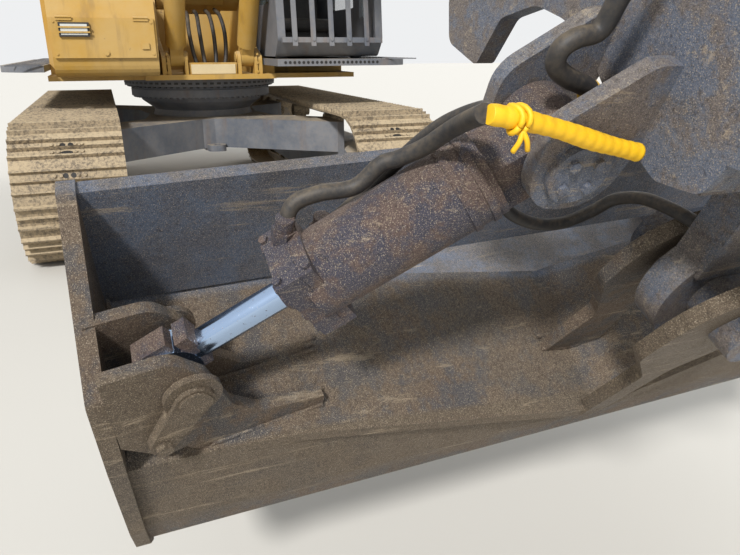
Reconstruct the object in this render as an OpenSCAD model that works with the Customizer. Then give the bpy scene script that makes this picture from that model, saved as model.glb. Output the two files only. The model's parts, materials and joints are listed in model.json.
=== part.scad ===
// Crawler excavator with a tilting ditch bucket, millimetres, +X forward, +Z up.
// The ground is at Z 0 and the origin lies under the middle of the machine's length.

/* [Machine] */
// Distance of the slew axis behind the middle of the machine's length
slew_back = 1908; // [1500:10:2200]
// Height of the joint between the lower and the upper slew ring
slew_z = 1178; // [1100:1:1250]
// Top of the upper frame's deck plate
deck_z = 1335; // [1300:5:1400]
// Half the width of the machine over its catwalks
walk_y = 1780; // [1700:10:1850]

/* [Tracks] */
// Distance between the middles of the two tracks
gauge = 2560; // [2400:10:2800]
// Width of a track shoe
shoe_w = 760; // [600:10:900]
// Distance between idler and sprocket axes
tumbler = 4010; // [3800:10:4300]
// Radius of the chain's pitch line round idler and sprocket
pitch_r = 435; // [400:5:480]
// Number of shoes in a track
shoes = 50; // [46:1:54]
// Height of a grouser's tip above the pitch line
lug_h = 92; // [85:1:105]
// Height of a shoe plate's outside above the pitch line
shoe_h = 62; // [55:1:70]

/* [Arm] */
// Boom foot pin, forward of the slew axis
foot_x = 150; // [0:10:300]
// Boom foot pin, above the ground
foot_z = 2050; // [1900:10:2200]
// Boom length from foot pin to stick pin
boom_len = 6200; // [5800:10:6600]
// Angle of the line from foot pin to stick pin above the level
boom_tilt = 26.3; // [20:0.1:35]
// Stick length from boom pin to hanger pin
stick_len = 3100; // [2600:10:3400]
// Angle of the stick from straight down, lower end forward
stick_lean = 18.2; // [10:0.1:30]
// Half the width of the boom
boom_y = 240; // [220:5:320]
// Half the width of the stick
stick_y = 190; // [150:5:230]

/* [Bucket] */
// Half the width of the bucket over its end plates
bucket_y = 1065; // [900:5:1200]
// Pitch of the tilt axis below the level, towards the front
tilt_pitch = 28; // [15:1:40]
// Sideways lean of the bucket at rest
bucket_lean = 3; // [0:0.5:6]
// Tilt hub, forward of the slew axis
hub_x = 6650; // [6500:10:6800]
// Tilt hub, above the ground
hub_z = 1166; // [1100:1:1250]

/* [Hidden] */
$fn = 48;
ochre = "#c39b41";
slate = "#4a5058";
dust = "#a3957c";
steel = "#5a5550";
rust = "#6e5443";
chrome = "#c8ccd0";
black = "#26262a";
glass = "#8fb0b8";

// Arm pins in the slew frame, as [x, z]
foot = [foot_x, foot_z];
knee_pin = foot + boom_len * [cos(boom_tilt), sin(boom_tilt)];
hanger_pin = knee_pin + stick_len * [sin(stick_lean), -cos(stick_lean)];

// Points given in the boom's frame, the stick's frame and the hanger's frame
function boom_at(x, z) = foot + x * [cos(boom_tilt), sin(boom_tilt)]
    + z * [-sin(boom_tilt), cos(boom_tilt)];
function stick_at(x, z) = knee_pin + x * [sin(stick_lean), -cos(stick_lean)]
    + z * [cos(stick_lean), sin(stick_lean)];
function hanger_at(t, n) = [hub_x, hub_z] + t * [cos(tilt_pitch), -sin(tilt_pitch)]
    + n * [sin(tilt_pitch), cos(tilt_pitch)];
// A point of the slew frame in the hanger's frame
function in_hanger(p) = let (d = p - [hub_x, hub_z])
    [d.x * cos(tilt_pitch) - d.y * sin(tilt_pitch), d.x * sin(tilt_pitch) + d.y * cos(tilt_pitch)];
// Pin at the end of a bar of length a from p and a bar of length b from q
function meet(p, a, q, b) =
    let (d = norm(q - p), x = (a * a - b * b + d * d) / (2 * d), u = (q - p) / d)
    p + x * u + sqrt(a * a - x * x) * [-u.y, u.x];

// Hydraulic cylinders and the bucket linkage: pins as [x, z] in the slew frame
boom_cyl_foot = [900, 1490];
boom_cyl_rod = boom_at(2600, 480);
boom_cyl_y = 325;
stick_cyl_foot = boom_at(2800, 1170);
stick_cyl_rod = stick_at(-700, 150);
bucket_cyl_foot = stick_at(250, 440);
rocker_pin = stick_at(2450, 30);
link_pin = hanger_at(190, 640);
rocker_len = 680;
push_len = 660;
rocker_end = meet(rocker_pin, rocker_len, link_pin, push_len);
// Tilt cylinders, at tilt_t along the tilt axis: pins as [y, n], feet in the hanger frame,
// eyes at tilt_pin in the bucket frame
tilt_t = -156;
tilt_pin = [930, -131];
function tilt_foot(s) = [s * 355, 231];
function tilt_eye(s) = [s * tilt_pin.x * cos(bucket_lean) - tilt_pin.y * sin(bucket_lean),
    s * tilt_pin.x * sin(bucket_lean) + tilt_pin.y * cos(bucket_lean)];
function tilt_len(s) = norm(tilt_eye(s) - tilt_foot(s));

// Outline helpers
function unit(v) = v / norm(v);
function corner(a, b, c, steps) =
    let (u = unit([a.x - b.x, a.y - b.y]), v = unit([c.x - b.x, c.y - b.y]),
         half = acos(max(-1, min(1, u * v))) / 2, m = unit(u + v),
         o = [b.x, b.y] + m * (b.z / sin(half)),
         p = [b.x, b.y] + u * (b.z / tan(half)), q = [b.x, b.y] + v * (b.z / tan(half)),
         a0 = atan2(p.y - o.y, p.x - o.x), a1 = atan2(q.y - o.y, q.x - o.x),
         turn = a1 - a0 > 180 ? a1 - a0 - 360 : a1 - a0 < -180 ? a1 - a0 + 360 : a1 - a0)
    [for (k = [0:steps]) o + b.z * [cos(a0 + turn * k / steps), sin(a0 + turn * k / steps)]];
function smooth(pts, steps = 5) =
    let (n = len(pts))
    [for (i = [0:n - 1])
        each pts[i].z == 0 ? [[pts[i].x, pts[i].y]]
            : corner(pts[(i + n - 1) % n], pts[i], pts[(i + 1) % n], steps)];

// Plate in the XZ plane, y is its middle
module plate_y(pts, y, th) {
    translate([0, y, 0]) rotate([90, 0, 0]) linear_extrude(th, center = true) polygon(smooth(pts));
}
// Plate in the XY plane, z is its underside
module plate_z(pts, z, th) {
    translate([0, 0, z]) linear_extrude(th) polygon(smooth(pts));
}
// Box given by its lowest and highest corners
module block(a, b) {
    translate(a) cube(b - a);
}
// Round bar along Y
module pin_y(p, y0, y1, r) {
    translate([p.x, y0, p.y]) rotate([-90, 0, 0]) cylinder(h = y1 - y0, r = r);
}
module pair() {
    children();
    mirror([0, 1, 0]) children();
}
// From the slew frame to the part's own frame
module placed() {
    translate([-slew_back, 0, 0]) children();
}
// Frame of the hanger: X along the tilt axis to the front, Z up its back
module hanger_frame() {
    translate([hub_x, 0, hub_z]) rotate([0, tilt_pitch, 0]) children();
}
module bucket_frame() {
    hanger_frame() rotate([bucket_lean, 0, 0]) children();
}
// Frame of a bar that runs from p to q in the XZ plane, with X along it
module along(p, q, y = 0) {
    translate([p.x, y, p.y]) rotate([0, -atan2(q.y - p.y, q.x - p.x), 0]) children();
}

// Frame of a tilt cylinder: X from its foot to its eye, Y along the pins
module tilt_frame(s) {
    hanger_frame() translate([tilt_t, tilt_foot(s).x, tilt_foot(s).y])
        rotate([atan2(tilt_eye(s).y - tilt_foot(s).y, tilt_eye(s).x - tilt_foot(s).x), 0, 0])
            rotate([0, 0, 90]) children();
}
// Round bar along the tilt axis of the frame it is called in
module pin_t(y, n, t0, t1, r) {
    translate([t0, y, n]) rotate([0, 90, 0]) cylinder(h = t1 - t0, r = r);
}
// Plate across the tilt axis from an outline of [y, n, corner radius]
module plate_t(pts, t0, t1) {
    translate([t0, 0, 0]) rotate([90, 0, 90]) linear_extrude(t1 - t0) polygon(smooth(pts));
}

// Track chain and shoes
run = tumbler;
loop_len = 2 * run + 2 * PI * pitch_r;
pitch = loop_len / shoes;
axle_z = pitch_r + lug_h;
function on_loop(s) =
    let (arc = PI * pitch_r)
    s < run ? [[-run / 2 + s, lug_h], 0]
    : s < run + arc ? let (a = (s - run) / pitch_r * 180 / PI)
        [[run / 2 + pitch_r * sin(a), axle_z - pitch_r * cos(a)], a]
    : s < 2 * run + arc ? [[run / 2 - (s - run - arc), axle_z + pitch_r], 180]
    : let (a = (s - 2 * run - arc) / pitch_r * 180 / PI)
        [[-run / 2 - pitch_r * sin(a), axle_z + pitch_r * cos(a)], 180 + a];
// One shoe's outside, as [along, height] from its middle: three grousers on a plate
shoe_profile = [[-88, shoe_h], [-82, lug_h], [-68, lug_h], [-60, shoe_h], [-9, shoe_h],
    [0, lug_h], [9, shoe_h], [60, shoe_h], [68, lug_h], [82, lug_h], [88, shoe_h]];
function loop_points(profile, count) =
    [for (i = [0:count - 1]) let (at = on_loop((i + 0.5) * loop_len / count), a = at[1])
        each [for (p = profile) at[0] + p.x * [cos(a), sin(a)] + p.y * [sin(a), -cos(a)]]];
function oval(r) =
    concat([for (a = [-90:15:90]) [run / 2 + r * cos(a), axle_z + r * sin(a)]],
        [for (a = [90:15:270]) [-run / 2 + r * cos(a), axle_z + r * sin(a)]]);
module track(side) {
    translate([0, side * gauge / 2, 0]) rotate([90, 0, 0]) {
        linear_extrude(shoe_w, center = true) difference() {
            polygon(loop_points(shoe_profile, shoes));
            polygon(oval(pitch_r + 44));
        }
        for (y = [-78, 78]) translate([0, 0, y]) linear_extrude(40, center = true) difference() {
            polygon(oval(pitch_r + 46));
            polygon(oval(pitch_r - 50));
        }
    }
}
module track_left() {
    color(dust) placed() track(1);
}
module track_right() {
    color(dust) placed() track(-1);
}

module track_frame(side) {
    top = axle_z + 200;
    placed() translate([0, side * gauge / 2, 0]) {
        plate_y([[-1530, 355, 0], [1500, 355, 0], [1560, 400, 0], [1560, 620, 0], [1300, 700, 60],
            [-1300, 700, 60], [-1530, 640, 0]], 0, 330);
        for (y = [-140, 140]) {
            plate_y([[1500, 440, 0], [1700, 470, 0], [2040, 490, 0], [2040, 570, 0],
                [1700, 590, 0], [1500, 610, 0]], y, 30);
        }
        // Roller guards hang from the frame's lower corners
        for (y = [-150, 150]) {
            plate_y([[-1480, 215, 40], [1480, 215, 40], [1540, 360, 0], [-1540, 360, 0]], y, 20);
        }
        // Plate that carries the final drive
        difference() {
            plate_y([[-1500, 400, 0], [-1500, 660, 0], [-1900, 770, 60], [-2110, 770, 60],
                [-2260, 640, 60], [-2260, 410, 60], [-2110, 285, 60], [-1900, 285, 60]],
                -side * 137.5, 55);
            pin_y([-run / 2, axle_z], -200, 200, 195);
        }
    }
}
module track_frame_left() {
    color(slate) track_frame(1);
}
module track_frame_right() {
    color(slate) track_frame(-1);
}

sprocket_teeth = 23;
module sprockets() {
    color(steel) placed() pair() translate([-run / 2, gauge / 2, axle_z]) rotate([90, 0, 0]) {
        linear_extrude(70, center = true) polygon([for (i = [0:sprocket_teeth * 4 - 1])
            let (a = i * 90 / sprocket_teeth, r = i % 4 < 2 ? pitch_r + 18 : pitch_r - 34)
            r * [cos(a), sin(a)]]);
        cylinder(h = 110, r = 250, center = true);
    }
}
module idlers() {
    color(steel) placed() pair() translate([run / 2, gauge / 2, axle_z]) rotate([90, 0, 0]) {
        difference() {
            union() {
                cylinder(h = 90, r = pitch_r - 12, center = true);
                cylinder(h = 196, r = pitch_r - 55, center = true);
            }
            for (z = [-98, 58]) translate([0, 0, z]) cylinder(h = 40, r = pitch_r - 110);
        }
        cylinder(h = 250, r = 75, center = true);
    }
}
module bottom_rollers() {
    color(steel) placed() pair() for (x = [-1400:350:1400])
        translate([x, gauge / 2, lug_h + 51 + 100]) rotate([90, 0, 0]) {
            for (y = [-78, 78]) translate([0, 0, y]) cylinder(h = 60, r = 100, center = true);
            cylinder(h = 280, r = 35, center = true);
        }
}
module carrier_rollers() {
    color(steel) placed() pair() for (x = [-650, 650])
        translate([x, gauge / 2, axle_z + pitch_r - 51 - 70]) {
            rotate([90, 0, 0]) cylinder(h = 200, r = 70, center = true);
            block([-40, -60, -141], [40, 60, -40]);
        }
}
module final_drives() {
    color(slate) placed() pair() translate([-run / 2, gauge / 2, axle_z]) rotate([90, 0, 0]) {
        translate([0, 0, -170]) cylinder(h = 115, r = 225);
        translate([0, 0, -190]) cylinder(h = 20, r = 150);
        translate([0, 0, 55]) cylinder(h = 240, r = 190);
        translate([0, 0, 165]) cylinder(h = 20, r = 228);
    }
}

// Carbody: legs that spread to the track frames, a turret on top
carbody_top = 905;
carbody_low = 620;
leg_plan = [[760, 0, 0], [780, 120, 0], [1480, 1050, 0], [1480, gauge / 2 - 166, 0],
    [980, gauge / 2 - 166, 0], [560, 640, 120], [0, 560, 0], [0, 0, 0]];
module carbody() {
    color(slate) placed() {
        difference() {
            union() {
                for (sx = [0, 1]) mirror([sx, 0, 0]) pair() plate_z(leg_plan, carbody_low,
                    carbody_top - carbody_low);
                for (sx = [0, 1]) mirror([sx, 0, 0]) pair() translate([0, gauge / 2 - 166, 0])
                    block([980, -60, 520], [1480, 0, 700]);
            }
            translate([0, 0, carbody_low - 1]) cylinder(h = 400, r = 300);
        }
        // Tow eye under the front of the carbody
        difference() {
            plate_z([[680, -110, 0], [900, -75, 60], [900, 75, 60], [680, 110, 0]], 600, 60);
            translate([835, 0, 590]) cylinder(h = 80, r = 30);
        }
        translate([0, 0, carbody_top]) rotate_extrude() polygon([[300, 0], [520, 0], [500, 60],
            [620, 150], [650, slew_z - carbody_top - 72], [720, slew_z - carbody_top - 72],
            [720, slew_z - carbody_top], [300, slew_z - carbody_top]]);
    }
}
module slew_ring() {
    color(slate) placed() translate([0, 0, slew_z + 2]) difference() {
        union() {
            cylinder(h = 30, r = 705);
            translate([0, 0, 30]) cylinder(h = deck_z - 45 - slew_z - 32, r = 780);
        }
        translate([0, 0, -1]) cylinder(h = 200, r = 280);
    }
}

// Upper structure
deck_low = deck_z - 45;
walk_left = 1415;
walk_right = 1375;
module deck() {
    color(ochre) placed() {
        difference() {
            union() {
                block([-2500, -1430, deck_low], [900, 1430, deck_z]);
                block([900, -620, deck_low], [1010, 590, deck_z]);
            }
            translate([0, 0, deck_low - 1]) cylinder(h = 60, r = 240);
        }
        // Two main webs carry the boom foot and the cylinder feet
        for (y = [-1, 1]) plate_y([[-550, deck_z, 0], [985, deck_z, 0], [985, 1500, 60],
            [560, 1640, 80], [360, 2120, 130], [0, 2180, 130], [-550, 1720, 0]], y * 445, 36);
        pin_y(foot, -460, 460, 60);
        for (y = [-1, 1]) pin_y(foot, y * 466 - 10, y * 466 + 10, 95);
        for (s = [-1, 1]) {
            for (y = [-78, 78]) plate_y([[780, deck_z, 0], [985, deck_z, 0], [985, 1490, 70],
                [900, 1570, 70], [815, 1490, 60]], s * boom_cyl_y + y, 30);
            pin_y(boom_cyl_foot, s * boom_cyl_y - 105, s * boom_cyl_y + 105, 45);
        }
        block([930, -220, deck_z], [960, 220, 1440]);
        // Beams that carry the cab and its platform
        for (x = [-380, 420]) block([x, 520, deck_z], [x + 90, 1430, walk_left]);
    }
}
module counterweight() {
    color(ochre) placed() difference() {
        translate([0, 0, 1300]) linear_extrude(1050) polygon(concat(
            [[-2510, 1430], [-2510, -1430], [-2700, -1470]],
            [for (a = [24:-4:-24]) [-3420 * cos(a), 0] + [0, -3420 * sin(a)]],
            [[-2700, 1470]]));
        block([-2900, -1000, 2150], [-2480, 1000, 2400]);
    }
}
module engine() {
    color(steel) placed() {
        block([-2350, -600, 1400], [-1500, 500, 2050]);
        for (x = [-2250, -1600]) for (y = [-500, 400])
            translate([x, y, deck_z]) cylinder(h = 1400 - deck_z, r = 50);
    }
}
housing_top = 2300;
module engine_housing() {
    color(ochre) placed() difference() {
        block([-2500, -1430, deck_z], [-560, 1430, housing_top]);
        block([-2470, -1400, deck_z - 1], [-590, 1400, housing_top - 30]);
        // Cooling openings in both sides
        for (z = [1560:70:2060]) block([-2300, 1395, z], [-1500, 1435, z + 32]);
        for (z = [1560:70:1910]) block([-2300, -1435, z], [-1700, -1395, z + 32]);
    }
}
module hydraulic_tank() {
    color(ochre) placed() block([-550, -1430, deck_z], [420, -480, 2150]);
}
module tool_box() {
    color(ochre) placed() difference() {
        plate_y([[430, deck_z, 0], [1290, deck_z, 120], [1330, 1500, 40], [1330, 1800, 40],
            [1270, 2080, 60], [430, 2080, 0]], -925, 830);
        block([460, -1310, 1500], [1340, -540, 1790]);
    }
}
module tool_box_door() {
    color(ochre) placed() {
        block([1332, -1322, 1490], [1350, -528, 1800]);
        for (y = [-1280, -690]) {
            block([1348, y, 1780], [1360, y + 120, 1799]);
            pin_y([1360, 1806], y, y + 120, 9);
        }
    }
}
module catwalks() {
    color(slate) placed() {
        plate_z([[1540, 480, 0], [1540, 1600, 160], [1400, walk_y, 160], [-2300, walk_y, 60],
            [-2300, 1430, 0], [-560, 1430, 0], [-550, 480, 0]], walk_left, 60);
        plate_z([[-2300, -1430, 0], [-2300, -walk_y, 60], [1000, -walk_y, 160],
            [1180, -1600, 160], [1180, -1430, 0]], walk_right, 55);
    }
}
module handrails() {
    color(slate) placed() {
        for (x = [480, 1150]) translate([x, -1300, 2080]) cylinder(h = 560, r = 17);
        translate([463, -1300, 2640]) rotate([0, 90, 0]) cylinder(h = 704, r = 17);
        for (x = [-2300, -1500, -700]) translate([x, 1380, housing_top]) cylinder(h = 480, r = 17);
        translate([-2317, 1380, housing_top + 480]) rotate([0, 90, 0]) cylinder(h = 1634, r = 17);
    }
}
module exhaust() {
    color(black) placed() translate([-1900, -700, housing_top]) {
        cylinder(h = 420, r = 62);
        cylinder(h = 60, r = 95);
    }
}

// Cab
cab_x0 = -440;
cab_y0 = 500;
cab_y1 = 1500;
cab_z0 = walk_left + 80;
cab_z1 = 3180;
wall = 45;
// Lower and upper end of the front, as [x, z]
nose = [1500, 1640];
brow = [1330, cab_z1];
front_lean = atan2(nose.x - brow.x, brow.y - nose.y);
cab_side = [[cab_x0, cab_z0, 0], [1380, cab_z0, 80], [nose.x, nose.y, 60], [brow.x, brow.y, 160],
    [cab_x0, cab_z1, 90]];
door_cut = [[60, cab_z0 + 60, 40], [880, cab_z0 + 60, 40], [880, cab_z1 - 130, 60],
    [60, cab_z1 - 130, 60]];
module cab_shell() {
    color(slate) placed() {
        difference() {
            plate_y(cab_side, (cab_y0 + cab_y1) / 2, cab_y1 - cab_y0);
            plate_y([for (p = cab_side) [p.x + (p.x < 500 ? wall : -wall),
                p.y + (p.y < 2000 ? wall : -wall), p.z]],
                (cab_y0 + cab_y1) / 2, cab_y1 - cab_y0 - 2 * wall);
            // Windscreen, right window, rear window, door opening, left window
            translate([0, cab_y0 + 70, 0]) block([1250, 0, 1660], [1600, 860, 3000]);
            block([60, cab_y0 - 10, 1950], [1200, cab_y0 + 60, 2980]);
            block([cab_x0 - 10, cab_y0 + 110, 2250], [cab_x0 + 60, cab_y1 - 110, 2980]);
            plate_y(door_cut, cab_y1, 120);
            block([1000, cab_y1 - 60, 1850], [1220, cab_y1 + 10, 2900]);
        }
        for (x = [-350, 1100]) for (y = [cab_y0 + 120, cab_y1 - 120])
            translate([x, y, walk_left + 60]) cylinder(h = 20, r = 55);
    }
}
module cab_glass() {
    color(glass) placed() {
        block([cab_x0 + 15, cab_y0 + 110, 2250], [cab_x0 + 21, cab_y1 - 110, 2980]);
        block([60, cab_y0 + 15, 1950], [1200, cab_y0 + 21, 2980]);
        block([1000, cab_y1 - 30, 1850], [1220, cab_y1 - 24, 2900]);
    }
}
module cab_guard() {
    color(slate) placed() translate([nose.x, 0, nose.y]) rotate([0, -front_lean, 0]) {
        for (y = [620:170:1300]) block([45, y, -60], [57, y + 45, 1330]);
        for (z = [-30, 640, 1270]) block([33, 530, z], [45, 1480, z + 45]);
        for (y = [530, 1430]) for (z = [-30, 1270]) block([0, y, z], [33, y + 45, z + 45]);
    }
}
module seat() {
    color(black) placed() {
        block([250, 780, cab_z0 + wall], [700, 1220, 1720]);
        plate_y([[180, 1720, 30], [760, 1720, 50], [760, 1850, 50], [300, 1830, 40],
            [140, 2500, 30], [50, 2500, 30]], 1000, 480);
    }
}
module cab_door() {
    color(slate) placed() {
        difference() {
            plate_y([[66, cab_z0 + 66, 34], [874, cab_z0 + 66, 34], [874, cab_z1 - 136, 54],
                [66, cab_z1 - 136, 54]], cab_y1 - 20, 40);
            block([130, cab_y1 - 60, 1950], [810, cab_y1 + 10, 2980]);
        }
        // Hinges with their knuckles on the door's axis
        for (z = [1700, 2700]) {
            block([66, cab_y1 - 2, z], [92, cab_y1 + 14, z + 80]);
            translate([63, cab_y1 + 12, z]) cylinder(h = 80, r = 10);
        }
    }
}
module cab_door_glass() {
    color(glass) placed() block([130, cab_y1 - 24, 1950], [810, cab_y1 - 18, 2980]);
}

// Boom: outline in its own frame, foot pin at 0, stick pin at [boom_len, 0]
boom_side = [[-150, -120, 100], [200, -190, 60], [2750, 330, 500], [6100, -190, 60],
    [6330, -110, 110], [6330, 130, 110], [5200, 330, 300], [3000, 960, 500], [2300, 1000, 500],
    [150, 210, 150], [-130, 120, 100]];
boom_hollow = [[420, -60, 60], [2750, 380, 400], [5500, -30, 60], [5500, 190, 60],
    [3000, 905, 400], [2300, 945, 400], [420, 250, 100]];
module boom() {
    color(ochre) placed() along(foot, knee_pin) {
        difference() {
            plate_y(boom_side, 0, 2 * boom_y - 40);
            plate_y(boom_hollow, 0, 2 * boom_y - 70);
            // Fork for the stick
            block([5640, -stick_y - 12, -400], [6500, stick_y + 12, 400]);
            pin_y([0, 0], -400, 400, 60.05);
        }
        for (y = [-1, 1]) {
            difference() {
                pin_y([0, 0], y * 308 - 93, y * 308 + 93, 118);
                pin_y([0, 0], -420, 420, 60.05);
            }
            pin_y([2600, 480], y * 245 - 27, y * 245 + 27, 120);
            pin_y([boom_len, 0], y * 228 - 10, y * 228 + 10, 120);
        }
        pin_y([boom_len, 0], -230, 230, 55);
        // Ears of the stick cylinder
        for (y = [-1, 1]) plate_y([[2560, 880, 0], [2930, 862, 0], [2878, 1240, 70],
            [2710, 1240, 70]], y * 82, 30);
        pin_y([2800, 1170], -105, 105, 45);
    }
}

// Cylinders: barrel from its eye, rod with its piston to its eye
module barrel(len, r, eye_r, eye_w, bore, rod_r) {
    start = eye_r + 42;
    difference() {
        union() {
            rotate([90, 0, 0]) cylinder(h = eye_w, r = eye_r, center = true);
            block([0, -eye_w / 2, -0.75 * eye_r], [start + 10, eye_w / 2, 0.75 * eye_r]);
            translate([start, 0, 0]) rotate([0, 90, 0]) cylinder(h = len - start, r = r);
            translate([len - 90, 0, 0]) rotate([0, 90, 0]) cylinder(h = 90, r = r + 6);
        }
        rotate([90, 0, 0]) cylinder(h = 2 * r + 40, r = bore, center = true);
        translate([start + 30, 0, 0]) rotate([0, 90, 0]) cylinder(h = len - start - 90, r = r - 16);
        translate([start + 40, 0, 0]) rotate([0, 90, 0]) cylinder(h = len, r = rod_r + 1);
    }
}
module rod(start, len, r, eye_r, eye_w, piston_r) {
    translate([start, 0, 0]) rotate([0, 90, 0]) cylinder(h = 70, r = piston_r);
    translate([start, 0, 0]) rotate([0, 90, 0]) cylinder(h = len - start, r = r);
    translate([len, 0, 0]) rotate([90, 0, 0]) cylinder(h = eye_w, r = eye_r, center = true);
}
module boom_barrel(s) {
    color(ochre) placed() along(boom_cyl_foot, boom_cyl_rod, s * boom_cyl_y)
        barrel(1690, 90, 88, 118, 45.05, 52);
}
module boom_rod(s) {
    color(chrome) placed() along(boom_cyl_foot, boom_cyl_rod, s * boom_cyl_y)
        rod(960, norm(boom_cyl_rod - boom_cyl_foot), 52, 95, 90, 73);
}
module boom_barrel_left() {
    boom_barrel(1);
}
module boom_barrel_right() {
    boom_barrel(-1);
}
module boom_rod_left() {
    boom_rod(1);
}
module boom_rod_right() {
    boom_rod(-1);
}

// Stick in its own frame: boom pin at 0, hanger pin at [stick_len, 0]
stick_side = [[-830, 20, 80], [-820, 260, 110], [-250, 420, 200], [700, 280, 300],
    [2900, 110, 80], [3195, 95, 90], [3195, -95, 90], [2900, -120, 60], [350, -260, 200],
    [-150, -270, 150], [-500, -60, 200]];
stick_hollow = [[180, -190, 60], [180, 310, 60], [700, 220, 200], [2150, 110, 60],
    [2150, -100, 60], [400, -200, 150]];
module stick() {
    color(ochre) placed() along(knee_pin, hanger_pin) {
        difference() {
            union() {
                plate_y(stick_side, 0, 2 * stick_y);
                pin_y([stick_len, 0], -214, 214, 94);
                for (y = [-1, 1]) pin_y([2450, 30], y * 194 - 6, y * 194 + 6, 85);
            }
            plate_y(stick_hollow, 0, 2 * stick_y - 40);
            pin_y([0, 0], -400, 400, 55.05);
            pin_y([stick_len, 0], -400, 400, 50.05);
            pin_y([2450, 30], -400, 400, 45.05);
            // Slot for the stick cylinder's eye
            block([-900, -68, -200], [-420, 68, 600]);
        }
        for (y = [-1, 1]) {
            pin_y([-700, 150], y * 196 - 10, y * 196 + 10, 105);
            plate_y([[40, 300, 0], [370, 295, 0], [335, 510, 70], [165, 510, 70]], y * 78, 28);
        }
        pin_y([250, 440], -100, 100, 45);
    }
}
module stick_barrel() {
    color(ochre) placed() along(stick_cyl_foot, stick_cyl_rod) barrel(2700, 100, 90, 128, 45.05, 58);
}
module stick_rod() {
    color(chrome) placed() along(stick_cyl_foot, stick_cyl_rod)
        rod(2000, norm(stick_cyl_rod - stick_cyl_foot), 58, 92, 124, 82);
}
module rocker() {
    color(ochre) placed() {
        for (y = [-222, 222]) along(rocker_pin, rocker_end, y) plate_y([[-80, -80, 75],
            [rocker_len + 78, -78, 72], [rocker_len + 78, 78, 72], [-80, 80, 75]], 0, 34);
        pin_y(rocker_pin, -248, 248, 45);
        pair() {
            pin_y(rocker_end, 61, 248, 40);
            pin_y(rocker_end, 134, 206, 62);
        }
    }
}
module push_link() {
    color(ochre) placed() difference() {
        union() {
            along(rocker_end, link_pin) {
                for (y = [-98, 98]) plate_y([[-78, -78, 70], [push_len + 60, -60, 0],
                    [push_len + 60, 60, 0], [-78, 78, 70]], y, 62);
                block([360, -70, -45], [push_len, 70, 45]);
            }
            pin_y(link_pin, -206, 206, 78);
        }
        pin_y(rocker_end, -200, 200, 40.05);
    }
}
module bucket_barrel() {
    color(ochre) placed() along(bucket_cyl_foot, rocker_end) barrel(1900, 85, 84, 124, 45.05, 48);
}
module bucket_rod() {
    color(chrome) placed() along(bucket_cyl_foot, rocker_end)
        rod(1250, norm(rocker_end - bucket_cyl_foot), 48, 84, 110, 67);
}

// Hanger between stick and bucket, with the tilt hub
hanger_side = [[-712, 189, 30], [-665, 117, 30], [-539, 133, 20], [-505, 249, 40],
    [-418, 315, 80], [-330, 331, 80], [-224, 310, 80], [-98, 258, 60], [-17, 246, 40],
    [58, 280, 30], [66, 335, 0], [260, 400, 95], [295, 640, 95], [190, 745, 95],
    [-300, 730, 90], [-400, 720, 40], [-560, 620, 80], [-690, 430, 90]];
tilt_lug = [[250, 300, 0], [250, 395, 0], [300, 395, 40], [427, 303, 60], [427, 159, 70],
    [283, 159, 70]];
module hanger() {
    color(slate) placed() hanger_frame() {
        for (y = [-240, 240]) plate_y(hanger_side, y, 40);
        for (y = [-268, 268]) for (p = [in_hanger(hanger_pin), [190, 640]])
            pin_y(p, y - 10, y + 10, 80);
        pin_y(in_hanger(hanger_pin), -240, 240, 50);
        // Lugs and pins of the tilt cylinders' feet
        pair() {
            for (t = [tilt_t - 86, tilt_t + 58]) plate_t(tilt_lug, t, t + 28);
            pin_t(tilt_foot(1).x, tilt_foot(1).y, tilt_t - 90, tilt_t + 90, 35);
            pin_t(tilt_foot(1).x, tilt_foot(1).y, tilt_t + 86, tilt_t + 98, 50);
        }
        // Tilt tube with its pin, joined to the side plates
        pin_t(0, 0, -36, 24, 118);
        pin_t(0, 0, -150, 135, 55);
        block([-36, -90, 60], [32, 90, 300]);
        block([-36, -222, 255], [32, 222, 320]);
    }
}

// Bucket frame: X along the tilt axis to the front, Z up; the mouth faces the machine
fold = atan2(90, 314);
rib_lean = 14.6;
// Ear of a tilt cylinder's pin, as [distance from the end plate, n]
ear_side = [[-3, -44, 0], [104, -44, 50], [157, -107, 50], [194, -212, 40], [248, -266, 40],
    [374, -292, 0], [374, -360, 0], [158, -360, 0], [105, -297, 0], [67, -303, 0], [2, -232, 0]];
ear_turn = 8;
module at_ears() {
    pair() translate([-68, -1035, 0]) rotate([0, 0, ear_turn]) children();
}
end_side = [[-420, 55, 0], [-385, 60, 20], [-76, -105, 20], [-62, -300, 0], [-62, -885, 345],
    [-1062, -942, 20], [-1078, -900, 20], [-428, 20, 0]];
// Bands of the folded top, measured down from its upper face
module fold_frame() {
    translate([-76, 0, 0]) rotate([0, fold, 0]) translate([-600, 0, 0]) rotate([90, 0, 90]) children();
}
module above_top(drop) {
    fold_frame() linear_extrude(800) polygon([[-1200, -313 - drop], [-720, -313 - drop],
        [0, -455 - drop], [720, -313 - drop], [1200, -313 - drop], [1200, 900], [-1200, 900]]);
}
module top_skin() {
    intersection() {
        fold_frame() linear_extrude(800) polygon([[-1036, -313], [-720, -313], [0, -455],
            [720, -313], [1036, -313], [1036, -338], [720, -338], [0, -480], [-720, -338],
            [-1036, -338]]);
        plate_z([[-400, -1100, 0], [-76, -1100, 0], [-76, -860, 0], [-37, 0, 0], [-76, 860, 0],
            [-76, 1100, 0], [-400, 1100, 0]], -700, 600);
    }
}
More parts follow.
